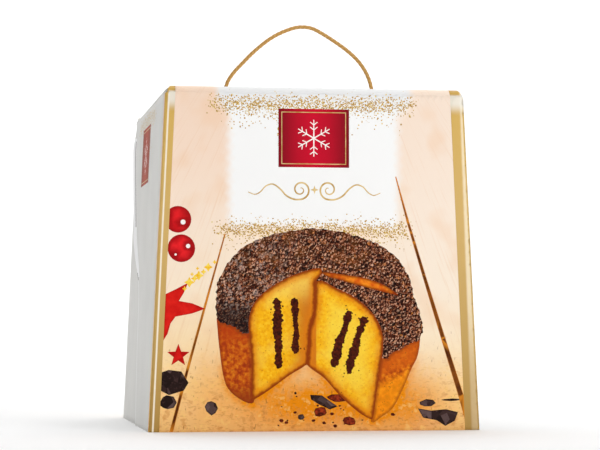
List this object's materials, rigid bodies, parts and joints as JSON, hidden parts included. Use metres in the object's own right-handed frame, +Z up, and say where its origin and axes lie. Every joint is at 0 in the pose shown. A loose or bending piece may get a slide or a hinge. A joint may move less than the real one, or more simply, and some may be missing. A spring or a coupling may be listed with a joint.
{
  "type": "panettone gift carton",
  "caption": "Tapered paperboard gift carton with a cord handle on its hinged tuck-in lid, holding a chocolate panettone in its paper baking case.",
  "frame": {"origin": "middle of the carton's base, on the surface it stands on", "axes": "+Z up, -Y out of the printed front, +X to the right of someone facing the front"},
  "size_m": [0.2, 0.2, 0.2514],
  "materials": {
    "printed_board": "satin",
    "white_board": "satin",
    "raw_board": "matte",
    "gold_cord": "satin",
    "brass_bar": "satin",
    "brown_paper": "matte",
    "loaf_crust": "matte"
  },
  "bodies": {
    "carton": {"front_panel": "printed_board", "back_panel": "printed_board", "right_side_panel": "white_board", "left_outer_lap": "white_board", "left_inner_lap": "white_board", "base_front_flap": "raw_board", "base_back_flap": "raw_board", "base_left_flap": "raw_board", "base_right_flap": "raw_board", "baking_case": "brown_paper", "panettone_loaf": "loaf_crust"},
    "lid": {"lid_panel": "printed_board", "handle_cord": "gold_cord", "left_cord_bar": "brass_bar", "right_cord_bar": "brass_bar"},
    "tuck": {"tuck_flap": "printed_board"},
    "left_dust": {"left_dust_flap": "raw_board"},
    "right_dust": {"right_dust_flap": "raw_board"}
  },
  "joints": [
    {"name": "lid_fold", "type": "hinge", "parent": "carton", "child": "lid", "pos_m": [0, -0.0996, 0.2046], "axis": [1, 0, 0], "range_deg": [0, 180]},
    {"name": "tuck_fold", "type": "hinge", "parent": "lid", "child": "tuck", "pos_m": [0, 0.0985, 0.2046], "axis": [1, 0, 0], "range_deg": [0, 72]},
    {"name": "left_dust_fold", "type": "hinge", "parent": "carton", "child": "left_dust", "pos_m": [-0.09017, 0, 0.2035], "axis": [0, -1, 0], "range_deg": [0, 90]},
    {"name": "right_dust_fold", "type": "hinge", "parent": "carton", "child": "right_dust", "pos_m": [0.09017, 0, 0.2035], "axis": [0, 1, 0], "range_deg": [0, 90]}
  ],
  "couplings": [
    {"joint": "tuck_fold", "follows": "lid_fold", "ratio": 0.4},
    {"joint": "left_dust_fold", "follows": "lid_fold", "ratio": 0.5},
    {"joint": "right_dust_fold", "follows": "lid_fold", "ratio": 0.5}
  ]
}
